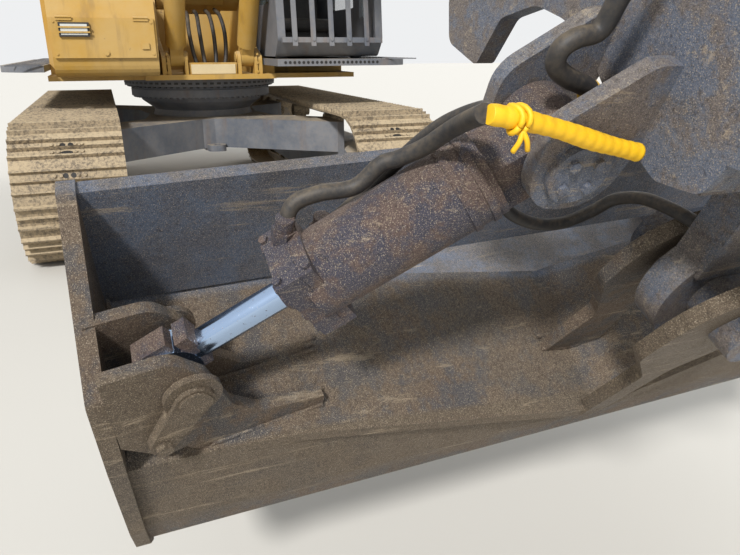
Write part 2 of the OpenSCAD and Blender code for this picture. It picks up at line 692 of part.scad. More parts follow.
// Ribs that carry the hub, leaning to the front by rib_lean
module hub_rib(t0, n0, side) {
    translate([t0, 0, n0]) rotate([0, rib_lean, 0]) plate_t(side, -15, 15);
}
module bucket() {
    color(steel) placed() bucket_frame() {
        difference() {
            union() {
                difference() {
                    difference() {
                        plate_y([[-392, -100, 0], [-76, -100, 0], [-76, -880, 330], [-1050, -925, 0],
                            [-1050, -880, 0], [-392, -260, 0]], 0, 2 * bucket_y - 50);
                        above_top(10);
                    }
                    plate_y([[-600, -100, 0], [-101, -100, 0], [-101, -854, 305],
                        [-1200, -904, 0], [-1200, -300, 0]], 0, 2 * bucket_y);
                }
                top_skin();
                plate_y([[-420, 50, 0], [-390, 50, 0], [-390, -225, 0], [-420, -215, 0]], 0,
                    2 * bucket_y - 50);
                plate_y([[-860, -900, 0], [-860, -945, 0], [-1100, -968, 0], [-1085, -926, 0],
                    [-1000, -905, 0]], 0, 2 * bucket_y - 10);
                for (s = [-1, 1]) plate_y(end_side, s * (bucket_y - 15), 30);
                difference() {
                    at_ears() for (t = [-24, -138]) plate_t(ear_side, t, t + 24);
                    plate_y([[-600, -188, 0], [0, -360, 0], [0, -700, 0], [-600, -700, 0]], 0, 3000);
                }
                hub_rib(-52, -500, [[-30, 0, 0], [-34, 270, 60], [-145, 420, 60], [-145, 655, 140],
                    [145, 655, 140], [145, 420, 60], [34, 270, 60], [30, 0, 0]]);
                hub_rib(-208, -455, [[-85, 0, 0], [-45, 230, 80], [-125, 400, 60], [-125, 590, 120],
                    [125, 590, 120], [125, 400, 60], [45, 230, 80], [85, 0, 0]]);
            }
            pin_t(0, 0, -200, 300, 55.05);
        }
        // Caps of the rod pins, outside the ears
        at_ears() for (t = [-150, 0]) pin_t(127, -135, t, t + 12, 48);
    }
}
module tilt_barrel(s) {
    face = tilt_len(s) - 240;
    color(steel) placed() tilt_frame(s) difference() {
        union() {
            rotate([90, 0, 0]) cylinder(h = 110, r = 62, center = true);
            block([0, -50, -46], [114, 50, 46]);
            translate([104, 0, 0]) rotate([0, 90, 0]) cylinder(h = face - 134, r = 70);
            block([face - 62, -59, -78], [face, 59, 78]);
        }
        rotate([90, 0, 0]) cylinder(h = 200, r = 35.05, center = true);
        translate([124, 0, 0]) rotate([0, 90, 0]) cylinder(h = face - 144, r = 50);
        translate([130, 0, 0]) rotate([0, 90, 0]) cylinder(h = 500, r = 25);
    }
}
module tilt_rod(s) {
    start = s > 0 ? 238 : 285;
    color(chrome) placed() tilt_frame(s) {
        translate([start, 0, 0]) rotate([0, 90, 0]) cylinder(h = 20, r = 49);
        translate([start, 0, 0]) rotate([0, 90, 0]) cylinder(h = tilt_len(s) - start, r = 24);
        translate([tilt_len(s), 0, 0]) rotate([90, 0, 0]) cylinder(h = 48, r = 48, center = true);
    }
}
module tilt_barrel_left() {
    tilt_barrel(1);
}
module tilt_barrel_right() {
    tilt_barrel(-1);
}
module tilt_rod_left() {
    tilt_rod(1);
}
module tilt_rod_right() {
    tilt_rod(-1);
}

carbody();
track_frame_left();
track_frame_right();
track_left();
track_right();
sprockets();
idlers();
bottom_rollers();
carrier_rollers();
final_drives();
slew_ring();
deck();
counterweight();
engine();
engine_housing();
hydraulic_tank();
tool_box();
tool_box_door();
catwalks();
handrails();
exhaust();
cab_shell();
cab_glass();
cab_guard();
seat();
cab_door();
cab_door_glass();
boom();
boom_barrel_left();
boom_barrel_right();
boom_rod_left();
boom_rod_right();
stick();
stick_barrel();
stick_rod();
rocker();
push_link();
bucket_barrel();
bucket_rod();
hanger();
bucket();
tilt_barrel_left();
tilt_barrel_right();
tilt_rod_left();
tilt_rod_right();
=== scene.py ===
"""Dresses the crawler excavator: finishes for its frame, its small pieces, the stage and the camera."""
import itertools
import json
import math
import random
import bmesh
import bpy
from bpy.props import FloatProperty, FloatVectorProperty, PointerProperty
from mathutils import Matrix, Vector


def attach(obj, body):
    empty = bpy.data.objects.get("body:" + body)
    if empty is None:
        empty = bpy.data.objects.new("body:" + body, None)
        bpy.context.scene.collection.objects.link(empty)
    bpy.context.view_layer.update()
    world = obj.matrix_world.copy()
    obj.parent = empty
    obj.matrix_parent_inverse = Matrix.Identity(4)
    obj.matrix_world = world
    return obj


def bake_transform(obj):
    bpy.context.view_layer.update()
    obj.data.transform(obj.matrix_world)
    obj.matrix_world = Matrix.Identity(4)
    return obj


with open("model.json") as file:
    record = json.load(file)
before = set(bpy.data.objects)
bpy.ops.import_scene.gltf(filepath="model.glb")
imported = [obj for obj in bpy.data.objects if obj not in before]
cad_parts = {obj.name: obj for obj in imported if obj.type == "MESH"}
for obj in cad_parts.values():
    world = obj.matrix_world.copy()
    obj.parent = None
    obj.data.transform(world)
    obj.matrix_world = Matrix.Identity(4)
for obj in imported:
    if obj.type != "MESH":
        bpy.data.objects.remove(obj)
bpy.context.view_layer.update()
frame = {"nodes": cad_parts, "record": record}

bl_info = {
    "name": "Crawler excavator dressing",
    "version": (1, 0, 0),
    "blender": (4, 5, 0),
    "location": "View3D > Sidebar > Excavator",
    "description": "Finishes and small pieces for a crawler excavator with a tilting ditch bucket",
    "category": "Object",
}

# Driving places, in metres, in the frame of the whole machine
SLEW_X = -1.908
HUB = Vector((SLEW_X + 6.650, 0, 1.166))
TILT_PITCH = math.radians(28)
BUCKET_LEAN = math.radians(3)
GAUGE = 2.560
TUMBLER = 4.010
PITCH_R = 0.435
SHOES = 50
SHOE_H = 0.062
LUG_H = 0.092
DECK_Z = 1.335
AXLE_Z = PITCH_R + LUG_H
TILT_T = -0.156
TILT_FOOT = Vector((0.355, 0.231))
TILT_PIN = Vector((0.930, -0.131))
GLAND_BACK = 0.240
NECK_RING_R = 0.0735
SLEW_BOLTS = 72

HANGER_FRAME = Matrix.Translation(HUB) @ Matrix.Rotation(TILT_PITCH, 4, "Y")
BUCKET_FRAME = HANGER_FRAME @ Matrix.Rotation(BUCKET_LEAN, 4, "X")

# The tilt axis, forward and down
TILT_AXIS = (0.8829, 0.4695)

# Turns a bar that stands up so that it points along X
FORWARD = Matrix.Rotation(math.pi / 2, 4, "Y")

# Ears of the bucket: foot of the front face at the end plate, and their turn about Z
EAR_T = -0.068
EAR_Y = 1.035
EAR_TURN = math.radians(8)

# Folded top of the bucket: where the fold ends, its depth there and at the middle, and its slope
FOLD_Y = 0.720
FOLD_DROP = 0.313
HUB_DROP = 0.455
TOP_RISE = 90 / 314


def tilt_frame(side):
    """Frame of a tilt cylinder, X from its foot to its eye and Z to its upper side, and its length."""
    spin = Matrix.Rotation(BUCKET_LEAN, 2)
    foot = Vector((side * TILT_FOOT.x, TILT_FOOT.y))
    run = spin @ Vector((side * TILT_PIN.x, TILT_PIN.y)) - foot
    ahead = Vector((0, run.x, run.y)).normalized()
    above = Vector((0, -ahead.z, ahead.y)) if ahead.y > 0 else Vector((0, ahead.z, -ahead.y))
    across = above.cross(ahead)
    turn = Matrix((ahead, across, above)).transposed().to_4x4()
    return HANGER_FRAME @ Matrix.Translation((TILT_T, foot.x, foot.y)) @ turn, run.length


def ear_frame(side):
    """Frame of a pair of ears: X off the front ear's face, Y from the end plate inwards, Z up."""
    mirror = Matrix.Scale(-1, 4, (0, 1, 0)) if side < 0 else Matrix.Identity(4)
    base = Matrix.Translation((EAR_T, EAR_Y, 0)) @ Matrix.Rotation(-EAR_TURN, 4, "Z")
    return BUCKET_FRAME @ mirror @ base @ Matrix.Scale(-1, 4, (0, 1, 0))


# Small forms


def keep(form, name, material, body, place=None):
    """Turns a form into a piece that rides on a body, or on no body when none is given."""
    bmesh.ops.recalc_face_normals(form, faces=form.faces)
    mesh = bpy.data.meshes.new(name)
    form.to_mesh(mesh)
    form.free()
    if place is not None:
        mesh.transform(place)
        if place.determinant() < 0:
            mesh.flip_normals()
    mesh.materials.append(material)
    piece = bpy.data.objects.new(name, mesh)
    bpy.context.scene.collection.objects.link(piece)
    if body is not None:
        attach(piece, body)
    return piece


def add_prism(form, place, radius, height, sides=6, spin=0.0):
    """A bar of that many sides, standing on the XY plane of place."""
    rings = []
    for z in (0.0, height):
        rings.append([])
        for k in range(sides):
            angle = spin + 2 * math.pi * k / sides
            spot = Vector((radius * math.cos(angle), radius * math.sin(angle), z))
            rings[-1].append(form.verts.new(place @ spot))
    for k in range(sides):
        form.faces.new((rings[0][k], rings[0][(k + 1) % sides], rings[1][(k + 1) % sides], rings[1][k]))
    form.faces.new(rings[1])
    form.faces.new(rings[0][::-1])


def add_block(form, place, low, high):
    """A box between two corners of place."""
    spots = itertools.product(*zip(low, high))
    corners = [form.verts.new(place @ Vector(spot)) for spot in spots]
    for loop in ((0, 1, 3, 2), (4, 6, 7, 5), (0, 4, 5, 1), (2, 3, 7, 6), (0, 2, 6, 4), (1, 5, 7, 3)):
        form.faces.new([corners[k] for k in loop])


def add_slab(form, place, outline, low, high):
    """An outline in the YZ plane of place, given a thickness along X."""
    ends = [[form.verts.new(place @ Vector((x, y, z))) for y, z in outline] for x in (low, high)]
    count = len(outline)
    for k in range(count):
        form.faces.new((ends[0][k], ends[0][(k + 1) % count], ends[1][(k + 1) % count], ends[1][k]))
    form.faces.new(ends[1])
    form.faces.new(ends[0][::-1])


def smooth_path(points, steps):
    """Points of a smooth line through the given ones."""
    points = [Vector(p) for p in points]
    ends = [points[0] * 2 - points[1]] + points + [points[-1] * 2 - points[-2]]
    line = []
    for k in range(len(points) - 1):
        a, b, c, d = ends[k : k + 4]
        for step in range(steps):
            t = step / steps
            bend = (2 * a - 5 * b + 4 * c - d) * t * t + (3 * b - a - 3 * c + d) * t**3
            line.append(0.5 * (2 * b + (c - a) * t + bend))
    return line + [points[-1]]


def add_tube(form, line, radius, sides=12):
    """A round tube along a line; radius may be a function of the length run so far."""
    size = radius if callable(radius) else lambda run: radius
    run = 0.0
    up = Vector((0.13, 0.21, 0.97))
    rings = []
    for k, point in enumerate(line):
        ahead = (line[min(k + 1, len(line) - 1)] - line[max(k - 1, 0)]).normalized()
        side = ahead.cross(up).normalized()
        up = side.cross(ahead).normalized()
        if k:
            run += (point - line[k - 1]).length
        ring = []
        for n in range(sides):
            angle = 2 * math.pi * n / sides
            ring.append(form.verts.new(point + (side * math.cos(angle) + up * math.sin(angle)) * size(run)))
        rings.append(ring)
    for a, b in zip(rings, rings[1:]):
        for n in range(sides):
            form.faces.new((a[n], a[(n + 1) % sides], b[(n + 1) % sides], b[n])).smooth = True
    form.faces.new(rings[0][::-1])
    form.faces.new(rings[-1])
    return run


# Shader maths


class Wire:
    """A socket of numbers that takes part in Python expressions."""

    def __init__(self, coat, socket):
        self.coat = coat
        self.socket = socket

    def _maths(self, operation, first, second):
        node = self.coat.node("ShaderNodeMath", {"operation": operation}, {0: first, 1: second})
        return Wire(self.coat, node.outputs[0])

    def __add__(self, other):
        return self._maths("ADD", self, other)

    __radd__ = __add__

    def __sub__(self, other):
        return self._maths("SUBTRACT", self, other)

    def __rsub__(self, other):
        return self._maths("SUBTRACT", other, self)

    def __mul__(self, other):
        return self._maths("MULTIPLY", self, other)

    __rmul__ = __mul__

    def between(self, low, high):
        """0 below low and 1 above high, smooth between them; low may be the larger."""
        node = self.coat.node(
            "ShaderNodeMapRange",
            {"interpolation_type": "SMOOTHSTEP"},
            {"Value": self, "From Min": low, "From Max": high},
        )
        return Wire(self.coat, node.outputs[0])

    def cap_at(self, other):
        return self._maths("MINIMUM", self, other)


class Coat:
    """One finish: a material with its shader and the ways to add to it."""

    def __init__(self, name, **constants):
        self.material = bpy.data.materials.new(name)
        self.material.use_nodes = True
        self.tree = self.material.node_tree
        self.shader = self.tree.nodes["Principled BSDF"]
        for socket, value in constants.items():
            self.shader.inputs[socket.replace("_", " ")].default_value = value
        coords = self.node("ShaderNodeTexCoord")
        self.place = Wire(self, coords.outputs["Object"])
        self.facing = Wire(self, coords.outputs["Normal"])

    def node(self, kind, settings=None, values=None):
        """Adds a node: its settings first, then the values or wires of its sockets."""
        node = self.tree.nodes.new(kind)
        for key, setting in (settings or {}).items():
            setattr(node, key, setting)
        for key, value in (values or {}).items():
            if isinstance(value, Wire):
                self.tree.links.new(value.socket, node.inputs[key])
            else:
                node.inputs[key].default_value = value
        return node

    def part(self, wire, axis):
        """One coordinate of a vector wire."""
        node = self.node("ShaderNodeSeparateXYZ", values={0: wire})
        return Wire(self, node.outputs[axis])

    def scaled(self, x, y, z):
        """The place on the piece, stretched along its axes."""
        node = self.node("ShaderNodeVectorMath", {"operation": "MULTIPLY"}, {0: self.place, 1: (x, y, z)})
        return Wire(self, node.outputs[0])

    def noise(self, scale, detail=4.0, roughness=0.6, place=None):
        node = self.node(
            "ShaderNodeTexNoise",
            values={"Vector": place or self.place, "Scale": scale, "Detail": detail, "Roughness": roughness},
        )
        return Wire(self, node.outputs["Fac"])

    def mix(self, mask, first, second):
        """Colour second over colour first where the mask is 1."""
        node = self.node("ShaderNodeMix", {"data_type": "RGBA"}, {0: mask, 6: first, 7: second})
        return Wire(self, node.outputs[2])

    def feed(self, socket, wire):
        self.tree.links.new(wire.socket, self.shader.inputs[socket])

    def bump(self, height, distance, strength=1.0):
        values = {"Height": height, "Distance": distance, "Strength": strength}
        node = self.node("ShaderNodeBump", values=values)
        self.tree.links.new(node.outputs[0], self.shader.inputs["Normal"])


def rgb(red, green, blue):
    """A colour as written on screen, 0 to 255, turned to the shader's own scale."""
    scale = [((c / 255 + 0.055) / 1.055) ** 2.4 if c > 10 else c / 255 / 12.92 for c in (red, green, blue)]
    return (*scale, 1.0)


def painted(name, colour, faded, primer, dust, dust_amount=0.45, wear=0.62, roughness=0.5):
    """Old paint: faded in patches, chipped to primer and rust, dusty on what faces up."""
    coat = Coat(name)
    broad = coat.noise(1.3, 5, 0.65)
    fine = coat.noise(26, 6, 0.7)
    streaks = coat.noise(9, 4, 0.6, coat.scaled(1, 1, 0.16))
    up = coat.part(coat.facing, 2)
    base = coat.mix(broad.between(0.35, 0.65), colour, faded)
    base = coat.mix(streaks.between(0.52, 0.72) * 0.4, base, primer)
    chips = (fine * 0.6 + broad * 0.4).between(wear, wear + 0.04)
    base = coat.mix(chips, base, primer)
    settled = up.between(0.1, 0.9) * 0.75 + 0.18
    dusty = settled * (fine * 0.5 + broad * 0.6).between(0.35, 0.7) * dust_amount * 2
    base = coat.mix(dusty.cap_at(0.85), base, dust)
    coat.feed("Base Color", base)
    coat.feed("Roughness", (fine * 0.2 + roughness + dusty * 0.3).cap_at(0.95))
    coat.bump(fine * 0.5 + chips * -0.5 + coat.noise(160, 3, 0.6) * 0.2, 0.0012)
    return coat.material


def dusty_steel(name, colour, dark, dust):
    """Cast or rolled steel under a coat of dry earth."""
    coat = Coat(name)
    broad = coat.noise(3.5, 5, 0.65)
    fine = coat.noise(45, 6, 0.72)
    up = coat.part(coat.facing, 2)
    base = coat.mix(fine.between(0.38, 0.62), dark, colour)
    cover = (up.between(-0.3, 0.9) * 0.55 + 0.35) * (broad * 0.5 + fine * 0.5).between(0.32, 0.6)
    base = coat.mix(cover, base, dust)
    coat.feed("Base Color", base)
    coat.feed("Roughness", 0.62 + cover * 0.3)
    coat.shader.inputs["Metallic"].default_value = 0.15
    coat.bump(fine * 0.6 + coat.noise(190, 3, 0.6) * 0.35, 0.0022)
    return coat.material


def worn_steel(name, scale, rust, dust, dust_amount=0.5, regions=()):
    """Weathered steel: dark scale, rust in patches, scratches, grit and dry earth.

    regions are (low, high, colour): a colour that takes over between two places along the tilt axis, used
    both for painted shade and for the steel's own tone.
    """
    coat = Coat(name)
    broad = coat.noise(3.1, 7, 0.66)
    patches = coat.noise(11, 9, 0.74)
    fine = coat.noise(130, 8, 0.8)
    grit = coat.noise(520, 3, 0.6)
    scratches = coat.noise(34, 7, 0.78, coat.scaled(1, 0.07, 1))
    up = coat.part(coat.facing, 2)
    base = coat.mix(patches.between(0.44, 0.56), scale, rust)
    if regions:
        flat, steep = TILT_AXIS
        along = coat.part(coat.place, 0) * flat - coat.part(coat.place, 2) * steep
        along = along - (HUB.x * flat - HUB.z * steep)
        for low, high, colour in regions:
            shade = (*(c * 0.55 for c in colour[:3]), 1.0)
            tone = coat.mix(patches.between(0.4, 0.6) * 0.55, colour, shade)
            base = coat.mix(along.between(low, high) * 0.88, base, tone)
    base = coat.mix(broad.between(0.52, 0.64) * 0.4, base, rgb(46, 44, 48))
    base = coat.mix(fine.between(0.52, 0.66) * 0.75, base, rgb(34, 28, 26))
    base = coat.mix(scratches.between(0.57, 0.66) * 0.55, base, rgb(176, 158, 132))
    settled = up.between(-0.05, 0.75) * 0.6 + 0.4
    cover = settled * (broad * 0.4 + patches * 0.6).between(0.4, 0.56) * dust_amount
    base = coat.mix(cover * (fine.between(0.6, 0.36) * 0.7 + 0.3), base, dust)
    base = coat.mix(grit.between(0.57, 0.63) * 0.6, base, rgb(186, 172, 150))
    base = coat.mix(grit.between(0.43, 0.37) * 0.6, base, rgb(24, 21, 20))
    coat.feed("Base Color", base)
    coat.feed("Roughness", (0.36 + fine * 0.4 + cover * 0.3).cap_at(0.95))
    coat.shader.inputs["Metallic"].default_value = 0.25
    coat.bump(fine * 0.8 + patches * 0.5 + grit * 0.3 + scratches * 0.3, 0.004)
    return coat.material


def chromed(name):
    """A polished rod with a bluish base colour that is painted sky reflection, faint drag marks and specks of
    dirt.
    """
    coat = Coat(name, Metallic=1.0)
    marks = coat.noise(60, 4, 0.6, coat.scaled(0.2, 0.2, 0.2))
    specks = coat.noise(220, 3, 0.6).between(0.64, 0.7)
    # The bluish base colour is painted reflection of the sky; the brown specks are dirt.
    coat.feed("Base Color", coat.mix(specks * 0.7, rgb(170, 192, 222), rgb(96, 84, 72)))
    coat.feed("Roughness", 0.12 + marks * 0.12 + specks * 0.4)
    coat.bump(marks, 0.0002)
    return coat.material


def rubbery(name, colour, dust, dust_amount=0.5):
    """Hose cover or gasket with dust in its grain."""
    coat = Coat(name)
    fine = coat.noise(90, 5, 0.7)
    broad = coat.noise(7, 4, 0.6)
    up = coat.part(coat.facing, 2)
    cover = (up.between(-0.2, 0.9) * 0.6 + 0.3) * (fine * 0.5 + broad * 0.5).between(0.4, 0.65) * dust_amount
    coat.feed("Base Color", coat.mix(cover, colour, dust))
    coat.feed("Roughness", 0.55 + cover * 0.35)
    coat.bump(fine, 0.0006)
    return coat.material


def clear_glass(name):
    """Cab glass, thin and slightly grey, with a film of dust."""
    coat = Coat(name, IOR=1.45, Roughness=0.03)
    film = coat.noise(3, 4, 0.6)
    coat.feed("Base Color", coat.mix(film.between(0.4, 0.7) * 0.5, rgb(120, 138, 142), rgb(160, 158, 148)))
    coat.feed("Alpha", 0.24 + film * 0.14)
    return coat.material


class ExcavatorFinish(bpy.types.PropertyGroup):
    """Colours of the machine's finishes."""

    ochre: FloatVectorProperty(
        name="Ochre paint",
        description="Faded paint of the boom, stick and panels",
        subtype="COLOR",
        size=4,
        default=rgb(172, 132, 48),
    )
    slate: FloatVectorProperty(
        name="Slate paint",
        description="Paint of the undercarriage, cab and hanger",
        subtype="COLOR",
        size=4,
        default=rgb(74, 80, 90),
    )
    dust: FloatVectorProperty(
        name="Dust",
        description="Dry earth that lies on what faces up",
        subtype="COLOR",
        size=4,
        default=rgb(176, 158, 128),
    )


class ExcavatorStage(bpy.types.PropertyGroup):
    """Camera and light."""

    lens: FloatProperty(name="Lens", description="Focal length", unit="CAMERA", default=31.38)
    sun: FloatProperty(name="Sun", description="Strength of the main light", default=4.2, min=0.0)
    fill: FloatProperty(name="Fill", description="Strength of the light from all round", default=0.8, min=0.0)


FINISHES = {}


def slots_of(node, material):
    """Gives a CAD node one finish all over."""
    mesh = frame["nodes"][node].data
    mesh.materials.clear()
    mesh.materials.append(material)


class EXCAVATOR_OT_finishes(bpy.types.Operator):
    """Makes the finishes and lays them on the frame's own pieces"""

    bl_idname = "excavator.finishes"
    bl_label = "Finishes"

    def execute(self, context):
        finish = context.scene.excavator_finish
        ochre = tuple(finish.ochre)
        slate = tuple(finish.slate)
        dust = tuple(finish.dust)
        FINISHES.update(
            ochre=painted("ochre_paint", ochre, rgb(176, 142, 76), rgb(104, 78, 44), dust, 0.35),
            slate=painted("slate_paint", slate, rgb(98, 102, 110), rgb(92, 70, 56), dust, 0.4),
            track=dusty_steel("track_steel", rgb(150, 132, 106), rgb(84, 74, 62), rgb(178, 160, 130)),
            bucket=worn_steel(
                "bucket_steel",
                rgb(76, 73, 74),
                rgb(92, 75, 62),
                rgb(124, 111, 93),
                0.66,
                # The first region is painted shade: blue-grey over the bucket's rear plate, behind t = -0.39
                # along the tilt axis, where the plate stands in shadow. The second is a brown tone from t =
                # -0.074 on.
                ((-0.372, -0.392, rgb(92, 104, 124)), (-0.088, -0.074, rgb(100, 85, 67))),
            ),
            barrel=worn_steel("barrel_steel", rgb(66, 64, 76), rgb(92, 74, 68), rgb(140, 126, 112), 0.26),
            hanger=worn_steel("hanger_steel", rgb(98, 105, 120), rgb(106, 96, 92), rgb(156, 154, 150), 0.4),
            chrome=chromed("rod_chrome"),
            glass=clear_glass("cab_glass"),
            rubber=rubbery("hose_rubber", rgb(34, 33, 34), rgb(128, 112, 88)),
            black=rubbery("black_paint", rgb(30, 30, 32), rgb(110, 100, 84), 0.4),
            guard=rubbery("guard_plastic", rgb(236, 184, 20), rgb(140, 104, 40), 0.45),
            dusty_guard=rubbery("guard_plastic_dusty", rgb(170, 132, 40), rgb(110, 96, 66), 0.9),
            shadow=rubbery("hole_shadow", rgb(20, 18, 16), rgb(60, 52, 42), 0.3),
            pale=rubbery("pale_plate", rgb(196, 178, 140), rgb(150, 132, 100), 0.4),
            lamp=rubbery("lamp_glass", rgb(190, 192, 188), rgb(150, 140, 120), 0.3),
        )
        finish_of_slot = {
            "ochre_paint": "ochre",
            "slate_paint": "slate",
            "dusty_steel": "track",
            "worn_steel": "bucket",
            "chrome_rod": "chrome",
            "window": "glass",
            "black_paint": "black",
            "seat_cloth": "black",
            "hose_rubber": "rubber",
            "guard_plastic": "guard",
        }
        for row in frame["record"]["subparts"]:
            slots_of(row["node"], FINISHES[finish_of_slot[row["material_slot"]]])
        slots_of("hanger", FINISHES["hanger"])
        for side in ("left", "right"):
            slots_of("tilt_barrel_" + side, FINISHES["barrel"])
        return {"FINISHED"}


class EXCAVATOR_OT_hoses(bpy.types.Operator):
    """Lays the hydraulic hoses of the tilt cylinders and the boom's foot"""

    bl_idname = "excavator.hoses"
    bl_label = "Hoses"

    # Name, radius, finish, points in the hanger's frame
    at_hanger = (
        (
            "hose_rod_side",
            0.013,
            "rubber",
            (
                (-0.190, -0.742, 0.048),
                (-0.205, -0.728, 0.092),
                (-0.205, -0.690, 0.112),
                (-0.200, -0.633, 0.124),
                (-0.200, -0.599, 0.163),
                (-0.190, -0.575, 0.181),
                (-0.170, -0.550, 0.214),
                (-0.140, -0.537, 0.262),
                (-0.100, -0.538, 0.306),
                (-0.060, -0.548, 0.341),
            ),
        ),
        (
            "hose_barrel_side",
            0.012,
            "rubber",
            (
                (-0.225, -0.668, 0.010),
                (-0.232, -0.600, 0.080),
                (-0.225, -0.555, 0.150),
                (-0.190, -0.520, 0.235),
                (-0.130, -0.505, 0.300),
                (-0.070, -0.530, 0.330),
            ),
        ),
        (
            "hose_guard",
            0.0125,
            "guard",
            (
                (-0.054, -0.546, 0.344),
                (-0.050, -0.505, 0.338),
                (-0.048, -0.441, 0.322),
                (-0.048, -0.367, 0.298),
                (-0.052, -0.280, 0.272),
            ),
        ),
        (
            "hose_guard_rear",
            0.016,
            "dusty_guard",
            (
                (-0.130, -0.343, 0.328),
                (-0.128, -0.328, 0.312),
                (-0.122, -0.294, 0.292),
                (-0.118, -0.268, 0.272),
            ),
        ),
    )
    free = (
        (
            "hose_loop",
            0.014,
            (
                (-0.130, -0.268, 0.640),
                (-0.130, -0.320, 0.560),
                (-0.130, -0.356, 0.470),
                (-0.130, -0.366, 0.415),
                (-0.130, -0.398, 0.402),
                (-0.130, -0.416, 0.386),
                (-0.130, -0.412, 0.362),
                (-0.130, -0.381, 0.343),
                (-0.130, -0.343, 0.328),
                (-0.122, -0.294, 0.292),
                (-0.118, -0.262, 0.270),
            ),
        ),
        (
            "hose_sag",
            0.012,
            (
                (-0.205, -0.352, 0.150),
                (-0.200, -0.345, 0.060),
                (-0.200, -0.269, 0.006),
                (-0.200, -0.195, -0.006),
                (-0.200, -0.134, 0.015),
                (-0.195, -0.098, 0.046),
                (-0.150, -0.088, 0.086),
                (-0.090, -0.080, 0.110),
                (-0.040, -0.070, 0.120),
            ),
        ),
    )

    def execute(self, context):
        for name, radius, points in self.free:
            line = smooth_path([HANGER_FRAME @ Vector(p) for p in points], 6)
            form = bmesh.new()
            run = add_tube(form, line, radius)
            piece = keep(form, name, FINISHES["rubber"], "hanger")
        for name, radius, finish, points in self.at_hanger:
            line = smooth_path([HANGER_FRAME @ Vector(p) for p in points], 28 if "guard" in finish else 8)
            size = radius
            if "guard" in finish:
                size = self.coiled(radius)
            form = bmesh.new()
            add_tube(form, line, size, 14)
            bends = "side" in name
            piece = keep(form, name, FINISHES[finish], None if bends else "hanger")
            if bends:
                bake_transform(piece)
        self.knot()
        self.fittings()
        self.boom_foot()
        return {"FINISHED"}

    @staticmethod
    def coiled(radius):
        """Radius along a spiral guard, a ridge at each turn and a slow swell."""
        coil = 0.019

        def size(run):
            return radius * (1 + 0.07 * abs(math.sin(run * math.pi / coil)) + 0.05 * math.sin(run * 47))

        return size

    def knot(self):
        """A tie round the guard, with its two short ends."""
        middle = HANGER_FRAME @ Vector((-0.050, -0.505, 0.338))
        form = bmesh.new()
        for shift, tilt in ((-0.010, 0.3), (0.006, -0.2)):
            ring = []
            for k in range(17):
                angle = 2 * math.pi * k / 16
                across = shift + math.sin(angle * 2) * 0.003 + tilt * 0.01
                spot = Vector((math.cos(angle) * 0.0165, across, math.sin(angle) * 0.0165))
                ring.append(middle + HANGER_FRAME.to_3x3() @ spot)
            add_tube(form, ring, 0.0038, 8)
        for end in ((0.020, -0.006, -0.034), (0.024, 0.012, -0.030)):
            start = middle + HANGER_FRAME.to_3x3() @ Vector((0.016, 0, -0.006))
            stop = middle + HANGER_FRAME.to_3x3() @ Vector(end)
            middle_of_end = (start + stop) / 2 + Vector((0.004, 0, 0))
            add_tube(form, smooth_path([start, middle_of_end, stop], 4), 0.0035, 8)
        keep(form, "hose_tie", FINISHES["guard"], "hanger")

    def fittings(self):
        """Hose ends at the cylinder and on the hanger."""
        cylinder_ends = ((-0.190, -0.742, 0.030), (-0.225, -0.668, -0.006))
        hanger_ends = ((-0.205, -0.352, 0.165),)
        for name, spots, body in (
            ("hose_fittings", cylinder_ends, "tilt_barrel_right"),
            ("hose_fitting_sag", hanger_ends, "hanger"),
        ):
            form = bmesh.new()
            for spot in spots:
                place = HANGER_FRAME @ Matrix.Translation(spot)
                add_prism(form, place, 0.020, 0.030)
                add_prism(form, place @ Matrix.Translation((0, 0, 0.030)), 0.015, 0.022, 12)
            keep(form, name, FINISHES["barrel"], body)

    def boom_foot(self):
        """Four hoses that rise between the boom's webs."""
        form = bmesh.new()
        for k, y in enumerate((-0.16, -0.07, 0.05, 0.15)):
            points = (
                (SLEW_X + 0.90, y * 0.7, DECK_Z + 0.02),
                (SLEW_X + 0.90 - 0.03 * k, y, 1.50),
                (SLEW_X + 0.80 - 0.02 * k, y * 1.1, 1.70),
                (SLEW_X + 0.62, y * 1.0, 1.86),
                (SLEW_X + 0.40, y * 0.9, 1.90 + 0.01 * k),
            )
            add_tube(form, smooth_path(points, 6), 0.019, 10)
        piece = keep(form, "boom_foot_hoses", FINISHES["rubber"], None)
        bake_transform(piece)


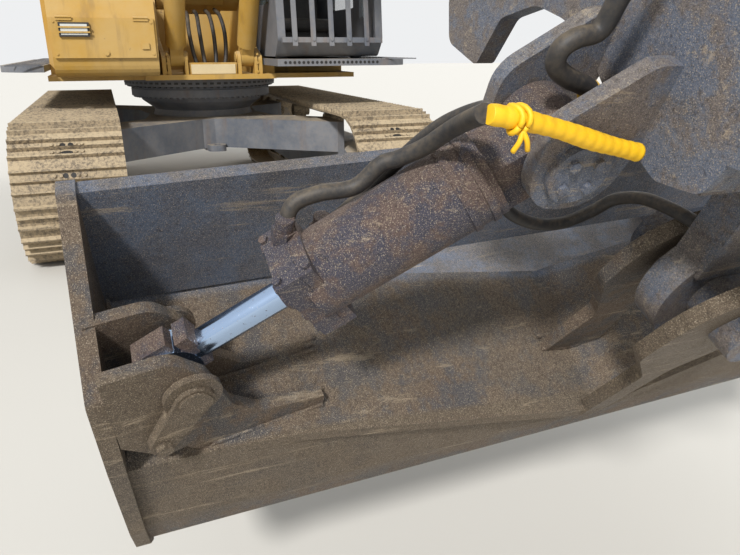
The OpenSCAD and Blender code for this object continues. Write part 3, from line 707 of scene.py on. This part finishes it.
class EXCAVATOR_OT_tilt_details(bpy.types.Operator):
    """Adds bolts, seals and keeper plates to the tilt cylinders and the bucket's ears"""

    bl_idname = "excavator.tilt_details"
    bl_label = "Tilt cylinder details"

    def execute(self, context):
        for side, word in ((1, "left"), (-1, "right")):
            place, length = tilt_frame(side)
            face = length - GLAND_BACK
            form = bmesh.new()
            front = place @ Matrix.Translation((face, 0, 0)) @ FORWARD
            for y in (-0.043, 0.043):
                for x in (-0.062, -0.021, 0.021, 0.062):
                    add_prism(form, front @ Matrix.Translation((x, y, 0)), 0.011, 0.006)
            add_prism(form, front, 0.035, 0.012, 28)
            add_prism(form, front, 0.029, 0.020, 28)
            for x in (-0.006, -0.056):
                for y in (-0.045, 0.045):
                    add_prism(form, place @ Matrix.Translation((face + x, y, 0.078)), 0.008, 0.006)
            add_block(form, place, (face - 0.0405, -0.0605, -0.0795), (face - 0.0365, 0.0605, 0.0795))
            for x in (0.118, 0.150):
                add_prism(form, place @ Matrix.Translation((x, 0, 0)) @ FORWARD, NECK_RING_R, 0.012, 32)
            keep(form, "tilt_gland_" + word, FINISHES["barrel"], "tilt_barrel_" + word)
            form = bmesh.new()
            eye = place @ Matrix.Translation((length, 0, 0))
            add_block(form, eye, (-0.064, -0.022, 0.020), (-0.040, 0.022, 0.050))
            add_block(form, eye, (-0.030, -0.020, 0.040), (0.034, 0.020, 0.060))
            add_block(form, eye, (-0.058, -0.023, -0.030), (-0.036, 0.023, 0.030))
            keep(form, "tilt_eye_" + word, FINISHES["barrel"], "tilt_rod_" + word)
            self.keepers(side, word)
        self.welds()
        self.hanger_bolts()
        return {"FINISHED"}

    def keepers(self, side, word):
        """Keeper plates that hold the rod's pin, with their bolts."""
        form = bmesh.new()
        place = ear_frame(side)
        for face, out in ((0.012, 1), (-0.150, -1)):
            top, low = Vector((0.127, -0.138)), Vector((0.066, -0.237))
            outline = []
            for centre, radius, start in ((top, 0.033, -30), (low, 0.022, 150)):
                for k in range(9):
                    angle = math.radians(start + 180 * k / 8 - 2)
                    outline.append(centre + Vector((math.cos(angle), math.sin(angle))) * radius)
            add_slab(form, place, outline, face - 0.012 * out, face + 0.008 * out)
            across = Matrix.Rotation(math.pi / 2 * out, 4, "Y")
            bolt = place @ Matrix.Translation((face + 0.008 * out, low.x, low.y)) @ across
            add_prism(form, bolt, 0.015, 0.011)
            add_prism(form, place @ Matrix.Translation((face, top.x, top.y)) @ across, 0.027, 0.012, 24)
        keep(form, "pin_keepers_" + word, FINISHES["bucket"], "bucket")

    def welds(self):
        """Weld beads where the hub's ribs and the ears meet the folded top."""
        form = bmesh.new()
        rng = random.Random(4)

        def bead(a, b, radius):
            a, b = BUCKET_FRAME @ Vector(a), BUCKET_FRAME @ Vector(b)
            count = max(4, int((b - a).length / 0.009))
            line = [a.lerp(b, k / count) for k in range(count + 1)]
            ripple = lambda run: radius * (0.86 + 0.2 * math.sin(run * 430) + rng.uniform(-0.05, 0.08))
            add_tube(form, line, ripple, 6)

        def top(t, y):
            """Height of the folded top in the bucket's frame."""
            drop = FOLD_DROP
            if abs(y) <= FOLD_Y:
                drop = HUB_DROP - 0.142 * abs(y) / FOLD_Y
            return -drop * math.hypot(1, TOP_RISE) - TOP_RISE * (t + 0.076)

        for side in (-1, 1):
            for shift in (0.0, -0.024, -0.114, -0.138):
                def spot(e, lift=0.003):
                    t = EAR_T + shift * math.cos(EAR_TURN) - e * math.sin(EAR_TURN)
                    y = EAR_Y - e * math.cos(EAR_TURN) + shift * math.sin(EAR_TURN)
                    return (t, side * y, top(t, y) + lift)
                bead(spot(0.150), spot(0.372), 0.0065)
            bead((-0.395, side * 1.031, -0.22), (-0.090, side * 1.031, top(-0.09, 1.03) + 0.004), 0.007)
            for t, reach in ((-0.064, 0.030), (-0.036, 0.030), (-0.222, 0.085), (-0.190, 0.085)):
                bead((t, side * 0.002, top(t, 0.0) + 0.004), (t, side * reach, top(t, reach) + 0.004), 0.007)
        keep(form, "bucket_welds", FINISHES["bucket"], "bucket")

    def hanger_bolts(self):
        """Rings of bolts on the pins' caps of the hanger."""
        form = bmesh.new()
        for y in (-1, 1):
            for t, n in ((-0.29876, 0.61824), (0.190, 0.640)):
                for k in range(6):
                    angle = math.radians(60 * k + 12)
                    spot = (t + 0.056 * math.cos(angle), y * 0.278, n + 0.056 * math.sin(angle))
                    outward = Matrix.Rotation(-math.pi / 2 * y, 4, "X")
                    add_prism(form, HANGER_FRAME @ Matrix.Translation(spot) @ outward, 0.011, 0.009)
            for k in range(4):
                angle = math.radians(90 * k + 45)
                spot = (TILT_T + 0.098, y * 0.355 + 0.030 * math.cos(angle), 0.231 + 0.030 * math.sin(angle))
                add_prism(form, HANGER_FRAME @ Matrix.Translation(spot) @ FORWARD, 0.009, 0.008)
        keep(form, "hanger_bolts", FINISHES["hanger"], "hanger")


class EXCAVATOR_OT_track_details(bpy.types.Operator):
    """Adds bolts and mud holes to the track shoes and bolts to the slew ring"""

    bl_idname = "excavator.track_details"
    bl_label = "Track details"

    def on_loop(self, run):
        """Place and turn of the pitch line after that much of the loop."""
        arc = math.pi * PITCH_R
        if run < TUMBLER:
            return Vector((run - TUMBLER / 2, LUG_H)), 0.0
        if run < TUMBLER + arc:
            turn = (run - TUMBLER) / PITCH_R
            return Vector((TUMBLER / 2 + PITCH_R * math.sin(turn), AXLE_Z - PITCH_R * math.cos(turn))), turn
        if run < 2 * TUMBLER + arc:
            return Vector((TUMBLER / 2 - (run - TUMBLER - arc), AXLE_Z + PITCH_R)), math.pi
        turn = (run - 2 * TUMBLER - arc) / PITCH_R
        spot = Vector((-TUMBLER / 2 - PITCH_R * math.sin(turn), AXLE_Z + PITCH_R * math.cos(turn)))
        return spot, math.pi + turn

    def execute(self, context):
        loop = 2 * TUMBLER + 2 * math.pi * PITCH_R
        bolts, holes = bmesh.new(), bmesh.new()
        for side in (-1, 1):
            for k in range(SHOES):
                spot, turn = self.on_loop((k + 0.5) * loop / SHOES)
                along = Vector((math.cos(turn), 0, math.sin(turn)))
                out = Vector((math.sin(turn), 0, -math.cos(turn)))
                base = Matrix((along, out.cross(along), out)).transposed().to_4x4()
                middle = Matrix.Translation((SLEW_X + spot.x, side * GAUGE / 2, spot.y))
                place = middle @ base @ Matrix.Translation((0, 0, SHOE_H))
                for x in (-0.034, 0.034):
                    for y in (-0.100, -0.056, 0.056, 0.100):
                        add_prism(bolts, place @ Matrix.Translation((x, y, 0)), 0.014, 0.011)
                # Thin dark discs in the shadow finish are painted shade that stands for the shoes' mud holes.
                for y in (-0.026, 0.026):
                    add_prism(holes, place @ Matrix.Translation((0.034, y, 0)), 0.019, 0.0012, 10)
                slot = place @ Matrix.Translation((-0.036, 0, 0)) @ Matrix.Diagonal((1, 2.4, 1, 1))
                add_prism(holes, slot, 0.017, 0.0012, 12)
        keep(bolts, "shoe_bolts", FINISHES["track"], "undercarriage")
        keep(holes, "shoe_holes", FINISHES["shadow"], "undercarriage")
        self.slew_bolts()
        return {"FINISHED"}

    def slew_bolts(self):
        """Bolts round the slew ring, below and above it, and its small teeth."""
        lower, upper = bmesh.new(), bmesh.new()
        for k in range(SLEW_BOLTS):
            spin = Matrix.Translation((SLEW_X, 0, 0)) @ Matrix.Rotation(2 * math.pi * k / SLEW_BOLTS, 4, "Z")
            down = Matrix.Rotation(math.pi, 4, "X")
            add_prism(lower, spin @ Matrix.Translation((0.690, 0, 1.106)) @ down, 0.017, 0.016)
            add_prism(upper, spin @ Matrix.Translation((0.742, 0, 1.210)) @ down, 0.016, 0.014)
            add_block(upper, spin, (0.7795, -0.019, 1.232), (0.7825, 0.019, 1.252))
        keep(lower, "turret_bolts", FINISHES["slate"], "undercarriage")
        keep(upper, "slew_ring_bolts", FINISHES["black"], "upper")


class EXCAVATOR_OT_upper_details(bpy.types.Operator):
    """Adds grating, a lamp and small fittings to the upper structure"""

    bl_idname = "excavator.upper_details"
    bl_label = "Upper structure details"

    # Walkways: lowest and highest X forward of the slew axis, Y and the top
    walks = ((-0.50, 1.50, 1.53, 1.755, 1.475), (-2.20, 1.12, -1.755, -1.46, 1.430))

    def execute(self, context):
        origin = Matrix.Translation((SLEW_X, 0, 0))
        form = bmesh.new()
        for x0, x1, y0, y1, z in self.walks:
            count = int((x1 - x0) / 0.042)
            for k in range(count):
                x = x0 + (x1 - x0) * k / count
                zigzag = Matrix.Rotation(0.22 if k % 2 else -0.22, 4, "Z")
                add_slab(
                    form,
                    origin @ Matrix.Translation((x, 0, z)) @ zigzag,
                    ((y0 + 0.02, 0), (y1 - 0.02, 0), (y1 - 0.02, 0.010), (y0 + 0.02, 0.010)),
                    -0.003,
                    0.003,
                )
        keep(form, "walk_grating", FINISHES["slate"], "upper")

        form = bmesh.new()
        # Thin dark discs in the shadow finish are painted shade that stands for holes along the walkway's
        # edge.
        for k in range(22):
            x = 0.55 + 0.042 * k
            add_prism(form, origin @ Matrix.Translation((1.5405, x, 1.446)) @ FORWARD, 0.013, 0.0015, 12)
        keep(form, "walk_edge_holes", FINISHES["shadow"], "upper")

        # Lamp of the tool box door behind its two bars, with the latch below it
        form = bmesh.new()
        door = origin @ Matrix.Translation((1.350, 0, 0))
        add_block(form, door, (0, -1.265, 1.655), (0.022, -1.035, 1.765))
        keep(form, "door_lamp_box", FINISHES["black"], "tool_box_door")
        form = bmesh.new()
        add_block(form, door, (0.020, -1.250, 1.668), (0.026, -1.050, 1.752))
        keep(form, "door_lamp", FINISHES["lamp"], "tool_box_door")
        form = bmesh.new()
        for z in (1.690, 1.728):
            add_block(form, door, (0.026, -1.270, z - 0.006), (0.036, -1.030, z + 0.006))
        add_block(form, door, (0, -0.640, 1.560), (0.014, -0.580, 1.610))
        add_prism(form, door @ Matrix.Translation((0, -0.925, 1.530)) @ FORWARD, 0.022, 0.012, 16)
        for y in (-1.300, -0.550):
            for z in (1.520, 1.770):
                add_prism(form, door @ Matrix.Translation((0, y, z)) @ FORWARD, 0.010, 0.007)
        keep(form, "door_fittings", FINISHES["ochre"], "tool_box_door")

        # Plate at the boom's foot and the box beside the left boom cylinder
        form = bmesh.new()
        add_block(form, origin, (0.960, -0.205, DECK_Z + 0.004), (0.972, 0.205, 1.425))
        keep(form, "foot_plate", FINISHES["pale"], "upper")
        form = bmesh.new()
        add_block(form, origin, (0.800, 0.475, DECK_Z), (0.895, 0.600, 1.480))
        add_prism(form, origin @ Matrix.Translation((0.895, 0.537, 1.430)) @ FORWARD, 0.016, 0.012, 12)
        for y in (-0.415, 0.415):
            for z in (1.36, 1.44, 1.52):
                add_prism(form, origin @ Matrix.Translation((0.985, y, z - 0.005)) @ FORWARD, 0.013, 0.010)
        keep(form, "deck_fittings", FINISHES["ochre"], "upper")

        # Bolts where the cab's guard bars cross
        form = bmesh.new()
        lean = math.atan2(1.500 - 1.330, 3.180 - 1.640)
        guard = origin @ Matrix.Translation((1.500, 0, 1.640)) @ Matrix.Rotation(-lean, 4, "Y")
        for y in (0.620, 0.790, 0.960, 1.130, 1.300):
            for z in (-0.008, 0.662, 1.292):
                add_prism(form, guard @ Matrix.Translation((0.057, y + 0.022, z)) @ FORWARD, 0.013, 0.009)
        keep(form, "guard_bolts", FINISHES["slate"], "upper")
        return {"FINISHED"}


class EXCAVATOR_OT_stage(bpy.types.Operator):
    """Lays the floor and sets the lights and the camera"""

    bl_idname = "excavator.stage"
    bl_label = "Stage"

    camera_place = (7.45 + SLEW_X, -0.97, 1.57)
    camera_heading = (-0.9304, 0.3665)
    camera_drop = math.radians(19.6)

    def execute(self, context):
        stage = context.scene.excavator_stage
        data = bpy.data.cameras.new("camera")
        data.sensor_fit = "HORIZONTAL"
        data.sensor_width = 36
        data.lens = stage.lens
        data.clip_start = 0.02
        data.clip_end = 300
        camera = bpy.data.objects.new("camera", data)
        camera.location = self.camera_place
        level = math.cos(self.camera_drop)
        ahead, across = self.camera_heading
        look = Vector((ahead * level, across * level, -math.sin(self.camera_drop)))
        camera.rotation_euler = look.to_track_quat("-Z", "Y").to_euler()
        context.scene.collection.objects.link(camera)
        context.scene.camera = camera

        floor = bpy.data.meshes.new("floor")
        form = bmesh.new()
        bmesh.ops.create_grid(form, x_segments=1, y_segments=1, size=60)
        form.to_mesh(floor)
        form.free()
        ground = bpy.data.objects.new("floor", floor)
        context.scene.collection.objects.link(ground)
        pale = Coat("floor_pale", Roughness=0.9)
        pale.shader.inputs["Base Color"].default_value = rgb(190, 186, 178)
        floor.materials.append(pale.material)

        for name, strength, direction, width in (
            ("sun", stage.sun, (-0.62, 0.48, -0.62), 0.12),
            ("back_light", stage.sun * 0.22, (0.7, -0.5, -0.5), 0.6),
        ):
            lamp = bpy.data.lights.new(name, "SUN")
            lamp.energy = strength
            lamp.angle = width
            lamp_object = bpy.data.objects.new(name, lamp)
            lamp_object.rotation_euler = Vector(direction).to_track_quat("-Z", "Y").to_euler()
            context.scene.collection.objects.link(lamp_object)

        world = bpy.data.worlds.new("studio")
        world.use_nodes = True
        context.scene.world = world
        nodes = world.node_tree.nodes
        links = world.node_tree.links
        light = nodes["Background"]
        light.inputs["Color"].default_value = (0.9, 0.95, 1.0, 1)
        light.inputs["Strength"].default_value = stage.fill
        backdrop = nodes.new("ShaderNodeBackground")
        backdrop.inputs["Color"].default_value = (0.86, 0.87, 0.88, 1)
        backdrop.inputs["Strength"].default_value = 1.0
        path = nodes.new("ShaderNodeLightPath")
        seen = nodes.new("ShaderNodeMath")
        seen.operation = "MAXIMUM"
        links.new(path.outputs["Is Camera Ray"], seen.inputs[0])
        links.new(path.outputs["Is Glossy Ray"], seen.inputs[1])
        seen_or_through = nodes.new("ShaderNodeMath")
        seen_or_through.operation = "MAXIMUM"
        links.new(seen.outputs[0], seen_or_through.inputs[0])
        links.new(path.outputs["Is Transmission Ray"], seen_or_through.inputs[1])
        choose = nodes.new("ShaderNodeMixShader")
        links.new(seen_or_through.outputs[0], choose.inputs[0])
        links.new(light.outputs[0], choose.inputs[1])
        links.new(backdrop.outputs[0], choose.inputs[2])
        links.new(choose.outputs[0], nodes["World Output"].inputs["Surface"])
        context.scene.view_settings.view_transform = "Standard"
        return {"FINISHED"}


class EXCAVATOR_PT_panel(bpy.types.Panel):
    """Lists the steps and their settings"""

    bl_label = "Crawler excavator"
    bl_idname = "EXCAVATOR_PT_panel"
    bl_space_type = "VIEW_3D"
    bl_region_type = "UI"
    bl_category = "Excavator"

    def draw(self, context):
        layout = self.layout
        for group in (context.scene.excavator_finish, context.scene.excavator_stage):
            for name in group.bl_rna.properties.keys():
                if name not in ("rna_type", "name"):
                    layout.prop(group, name)
        for step in STEPS:
            layout.operator(step.bl_idname)


GROUPS = {"excavator_finish": ExcavatorFinish, "excavator_stage": ExcavatorStage}
STEPS = (
    EXCAVATOR_OT_finishes,
    EXCAVATOR_OT_stage,
    EXCAVATOR_OT_hoses,
    EXCAVATOR_OT_tilt_details,
    EXCAVATOR_OT_track_details,
    EXCAVATOR_OT_upper_details,
)


def register():
    for name, group in GROUPS.items():
        bpy.utils.register_class(group)
        setattr(bpy.types.Scene, name, PointerProperty(type=group))
    for step in STEPS:
        bpy.utils.register_class(step)
    bpy.utils.register_class(EXCAVATOR_PT_panel)


def unregister():
    bpy.utils.unregister_class(EXCAVATOR_PT_panel)
    for step in reversed(STEPS):
        bpy.utils.unregister_class(step)
    for name, group in reversed(GROUPS.items()):
        delattr(bpy.types.Scene, name)
        bpy.utils.unregister_class(group)


def main():
    register()
    for step in STEPS:
        family, name = step.bl_idname.split(".")
        getattr(getattr(bpy.ops, family), name)()


if __name__ == "__main__":
    main()
